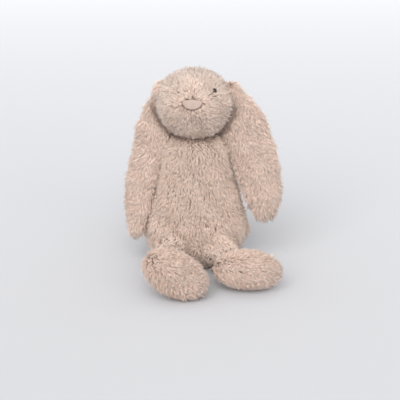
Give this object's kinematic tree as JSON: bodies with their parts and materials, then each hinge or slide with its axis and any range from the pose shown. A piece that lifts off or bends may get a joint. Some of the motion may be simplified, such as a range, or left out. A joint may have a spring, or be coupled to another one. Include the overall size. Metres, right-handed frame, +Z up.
{
  "type": "stuffed bunny rabbit",
  "caption": "Sitting plush rabbit with long hanging ears, a suede nose, bead eyes, soft arms, legs with large feet and a round tail; head and limbs turn in their seams.",
  "frame": {"origin": "middle of the flat seat, on the surface that the toy sits on", "axes": "+Z up, the toy faces -Y, its own left side is at +X"},
  "size_m": [0.1742, 0.208, 0.214],
  "materials": {
    "body_plush": "long soft pile, slightly curled",
    "ear_plush": "long soft pile, combed downwards",
    "sole_plush": "soft pile with a sideways nap",
    "seam_cloth": "gathered backing cloth",
    "fibre_fill": "loose polyester fibre",
    "pouch_cloth": "plain woven",
    "pellets": "matt",
    "thread": "spun thread",
    "nose_suede": "short brushed suede cloth",
    "eye_plastic": "polished",
    "washer_plastic": "matt"
  },
  "bodies": {
    "torso": {"torso_front": "body_plush", "torso_back_left": "body_plush", "torso_back_right": "body_plush", "seat_panel": "body_plush", "torso_stuffing": "fibre_fill", "seat_bean_pouch": "pouch_cloth", "seat_beans": "pellets", "closing_thread": "thread", "tail_skin": "body_plush", "tail_stuffing": "fibre_fill"},
    "neck": {"neck_seam_band": "seam_cloth"},
    "head": {"head_gusset": "body_plush", "head_side_left": "body_plush", "head_side_right": "body_plush", "head_stuffing": "fibre_fill", "nose_patch": "nose_suede", "eye_left": "eye_plastic", "eye_right": "eye_plastic", "eye_washer_left": "washer_plastic", "eye_washer_right": "washer_plastic"},
    "ear_root_left": {"ear_left_root": "seam_cloth"},
    "ear_left": {"ear_left_lining": "ear_plush", "ear_left_back": "body_plush"},
    "arm_left": {"arm_left_outer": "body_plush", "arm_left_inner": "body_plush", "arm_left_stuffing": "fibre_fill"},
    "leg_left": {"leg_left_skin": "body_plush", "leg_left_stuffing": "fibre_fill"},
    "foot_left": {"foot_left_upper": "body_plush", "foot_left_sole": "sole_plush", "foot_left_stuffing": "fibre_fill"},
    "ear_root_right": {"ear_right_root": "seam_cloth"},
    "ear_right": {"ear_right_lining": "ear_plush", "ear_right_back": "body_plush"},
    "arm_right": {"arm_right_outer": "body_plush", "arm_right_inner": "body_plush", "arm_right_stuffing": "fibre_fill"},
    "leg_right": {"leg_right_skin": "body_plush", "leg_right_stuffing": "fibre_fill"},
    "foot_right": {"foot_right_upper": "body_plush", "foot_right_sole": "sole_plush", "foot_right_stuffing": "fibre_fill"}
  },
  "joints": [
    {"name": "neck_nod", "type": "hinge", "parent": "torso", "child": "neck", "pos_m": [0, 0, 0.121], "axis": [1, 0, 0], "range_deg": [-12, 8]},
    {"name": "head_turn", "type": "hinge", "parent": "neck", "child": "head", "pos_m": [0, 0, 0.121], "axis": [0, 0, 1], "range_deg": [-10, 10]},
    {"name": "ear_left_lift", "type": "hinge", "parent": "head", "child": "ear_root_left", "pos_m": [0.0365, -0.001, 0.192], "axis": [0, -1, 0], "range_deg": [0, 55]},
    {"name": "ear_left_flap", "type": "hinge", "parent": "ear_root_left", "child": "ear_left", "pos_m": [0.0365, -0.001, 0.192], "axis": [-1, 0, 0], "range_deg": [0, 50]},
    {"name": "arm_left_raise", "type": "hinge", "parent": "torso", "child": "arm_left", "pos_m": [0.02931, 0.01009, 0.11], "axis": [0.3256, -0.9455, 0], "range_deg": [0, 80]},
    {"name": "leg_left_swing", "type": "hinge", "parent": "torso", "child": "leg_left", "pos_m": [0.024, -0.043, 0.025], "axis": [-1, 0, 0], "range_deg": [0, 36]},
    {"name": "foot_left_flex", "type": "hinge", "parent": "leg_left", "child": "foot_left", "pos_m": [0.0425, -0.082, 0.024], "axis": [-1, 0, 0], "range_deg": [-12, 18]},
    {"name": "ear_right_lift", "type": "hinge", "parent": "head", "child": "ear_root_right", "pos_m": [-0.0365, -0.001, 0.192], "axis": [0, 1, 0], "range_deg": [0, 55]},
    {"name": "ear_right_flap", "type": "hinge", "parent": "ear_root_right", "child": "ear_right", "pos_m": [-0.0365, -0.001, 0.192], "axis": [-1, 0, 0], "range_deg": [0, 50]},
    {"name": "arm_right_raise", "type": "hinge", "parent": "torso", "child": "arm_right", "pos_m": [-0.02931, 0.01009, 0.11], "axis": [0.3256, 0.9455, 0], "range_deg": [0, 80]},
    {"name": "leg_right_swing", "type": "hinge", "parent": "torso", "child": "leg_right", "pos_m": [-0.024, -0.043, 0.025], "axis": [-1, 0, 0], "range_deg": [0, 36]},
    {"name": "foot_right_flex", "type": "hinge", "parent": "leg_right", "child": "foot_right", "pos_m": [-0.0305, -0.105, 0.033], "axis": [-1, 0, 0], "range_deg": [-12, 18]}
  ]
}
